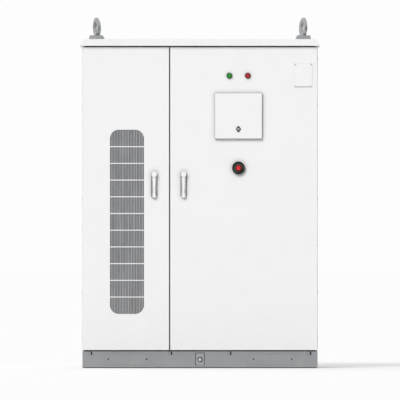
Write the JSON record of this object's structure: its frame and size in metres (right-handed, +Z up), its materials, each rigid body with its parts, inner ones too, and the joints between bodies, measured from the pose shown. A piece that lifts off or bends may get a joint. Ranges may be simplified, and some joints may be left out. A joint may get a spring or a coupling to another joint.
{
  "type": "outdoor battery cabinet",
  "caption": "Outdoor battery cabinet with a narrow vented door and a wide door with lamps, stop button and display flap, on a grey plinth with lifting eyes.",
  "frame": {"origin": "middle of the floor anchor holes, on the floor", "axes": "+Z up, doors facing -Y, wide door on the +X side"},
  "size_m": [1.6, 1.305, 2.332],
  "materials": {
    "body_paint": "pale grey powder coat, fine texture",
    "plinth_paint": "mid grey powder coat",
    "inner_zinc": "galvanised sheet",
    "eye_zinc": "hot-dip galvanised",
    "bright_steel": "bright zinc plated",
    "handle_chrome": "satin chrome plated zinc",
    "seal_rubber": "matt rubber",
    "filter_mat": "fibre mat",
    "grille_paint": "grey powder coat",
    "black_plastic": "black moulded plastic",
    "signal_red": "glossy red plastic",
    "lamp_green": "translucent green plastic",
    "lamp_red": "translucent red plastic",
    "display_glass": "dark glass in a black bezel",
    "battery_case": "dark coated case",
    "coil_fins": "aluminium fins",
    "plate_metal": "pale coated aluminium plate"
  },
  "bodies": {
    "cabinet": {"plinth_frame": "plinth_paint", "fork_pocket_covers": "plinth_paint", "earth_bracket": "inner_zinc", "earth_stud": "bright_steel", "sealing_strips": "seal_rubber", "frame_rails": "body_paint", "frame_posts": "body_paint", "floor_pan": "inner_zinc", "cable_glands": "black_plastic", "side_panels": "body_paint", "rear_panel": "body_paint", "roof": "body_paint", "lifting_eyes": "eye_zinc", "hinge_arms": "inner_zinc", "hinge_pins": "bright_steel", "door_seals": "seal_rubber", "partition": "inner_zinc", "rack_frame": "inner_zinc", "cooling_case": "inner_zinc", "converter_case": "inner_zinc", "condenser_coil": "coil_fins", "fan_shrouds": "black_plastic", "control_box": "battery_case", "battery_pack_1": "battery_case", "battery_pack_2": "battery_case", "battery_pack_3": "battery_case", "battery_pack_4": "battery_case", "battery_pack_5": "battery_case"},
    "left_door": {"left_door_panel": "body_paint", "left_hinge_leaves": "inner_zinc", "vent_grille": "grille_paint", "vent_filter": "filter_mat", "left_handle_plate": "handle_chrome", "left_lock_case": "inner_zinc"},
    "right_door": {"right_door_panel": "body_paint", "right_hinge_leaves": "inner_zinc", "right_handle_plate": "handle_chrome", "right_lock_case": "inner_zinc", "lamp_bezels": "bright_steel", "green_lamp_lens": "lamp_green", "red_lamp_lens": "lamp_red", "estop_body": "black_plastic", "hmi_frame": "body_paint", "hmi_display": "display_glass", "name_plate": "plate_metal"},
    "hmi_flap": {"hmi_flap": "body_paint", "flap_lock_flange": "black_plastic"},
    "flap_lock": {"flap_lock_core": "bright_steel"},
    "estop_plunger": {"estop_stem": "black_plastic"},
    "estop_cap": {"estop_cap": "signal_red"},
    "cooling_fan": {"cooling_fan": "black_plastic"},
    "converter_fan": {"converter_fan": "black_plastic"},
    "left_handle": {"left_handle_hub": "handle_chrome"},
    "left_lever": {"left_handle_lever": "handle_chrome"},
    "left_upper_rod": {"left_upper_rod": "inner_zinc"},
    "left_lower_rod": {"left_lower_rod": "inner_zinc"},
    "right_handle": {"right_handle_hub": "handle_chrome"},
    "right_lever": {"right_handle_lever": "handle_chrome"},
    "right_upper_rod": {"right_upper_rod": "inner_zinc"},
    "right_lower_rod": {"right_lower_rod": "inner_zinc"}
  },
  "joints": [
    {"name": "left_door_swing", "type": "hinge", "parent": "cabinet", "child": "left_door", "pos_m": [-0.766, -0.611, 1.1275], "axis": [0, 0, -1], "range_deg": [0, 105]},
    {"name": "right_door_swing", "type": "hinge", "parent": "cabinet", "child": "right_door", "pos_m": [0.766, -0.611, 1.1275], "axis": [0, 0, 1], "range_deg": [0, 105]},
    {"name": "flap_swing", "type": "hinge", "parent": "right_door", "child": "hmi_flap", "pos_m": [0.2555, -0.636, 1.823], "axis": [-1, 0, 0], "range_deg": [0, 95]},
    {"name": "flap_lock_turn", "type": "hinge", "parent": "hmi_flap", "child": "flap_lock", "pos_m": [0.2555, -0.645, 1.589], "axis": [0, 1, 0], "range_deg": [0, 90]},
    {"name": "estop_press", "type": "slide", "parent": "right_door", "child": "estop_plunger", "axis": [0, 1, 0], "range_m": [0, 0.004], "stiffness_N_per_m": 1500, "springref_m": -0.002},
    {"name": "estop_release", "type": "hinge", "parent": "estop_plunger", "child": "estop_cap", "pos_m": [0.256, -0.625, 1.331], "axis": [0, 1, 0], "range_deg": [0, 45], "stiffness_Nm_per_rad": 0.05},
    {"name": "cooling_fan_spin", "type": "hinge", "parent": "cabinet", "child": "cooling_fan", "pos_m": [-0.4855, -0.52, 0.64], "axis": [0, 1, 0], "continuous": true},
    {"name": "converter_fan_spin", "type": "hinge", "parent": "cabinet", "child": "converter_fan", "pos_m": [-0.4855, -0.52, 1.3], "axis": [0, 1, 0], "continuous": true},
    {"name": "left_handle_turn", "type": "hinge", "parent": "left_door", "child": "left_handle", "pos_m": [-0.305, -0.6496, 1.2895], "axis": [0, 1, 0], "range_deg": [0, 90]},
    {"name": "left_handle_lift", "type": "hinge", "parent": "left_handle", "child": "left_lever", "pos_m": [-0.305, -0.6431, 1.274], "axis": [-1, 0, 0], "range_deg": [0, 25]},
    {"name": "left_upper_rod_slide", "type": "slide", "parent": "left_door", "child": "left_upper_rod", "axis": [0, 0, -1], "range_m": [0, 0.0201]},
    {"name": "left_lower_rod_slide", "type": "slide", "parent": "left_door", "child": "left_lower_rod", "axis": [0, 0, 1], "range_m": [0, 0.0201]},
    {"name": "right_handle_turn", "type": "hinge", "parent": "right_door", "child": "right_handle", "pos_m": [-0.109, -0.6496, 1.2895], "axis": [0, -1, 0], "range_deg": [0, 90]},
    {"name": "right_handle_lift", "type": "hinge", "parent": "right_handle", "child": "right_lever", "pos_m": [-0.109, -0.6431, 1.274], "axis": [-1, 0, 0], "range_deg": [0, 25]},
    {"name": "right_upper_rod_slide", "type": "slide", "parent": "right_door", "child": "right_upper_rod", "axis": [0, 0, -1], "range_m": [0, 0.0201]},
    {"name": "right_lower_rod_slide", "type": "slide", "parent": "right_door", "child": "right_lower_rod", "axis": [0, 0, 1], "range_m": [0, 0.0201]}
  ],
  "couplings": [
    {"joint": "left_upper_rod_slide", "follows": "left_handle_turn", "m_per_rad": 0.01275},
    {"joint": "left_lower_rod_slide", "follows": "left_handle_turn", "m_per_rad": 0.01275},
    {"joint": "right_upper_rod_slide", "follows": "right_handle_turn", "m_per_rad": 0.01275},
    {"joint": "right_lower_rod_slide", "follows": "right_handle_turn", "m_per_rad": 0.01275}
  ]
}
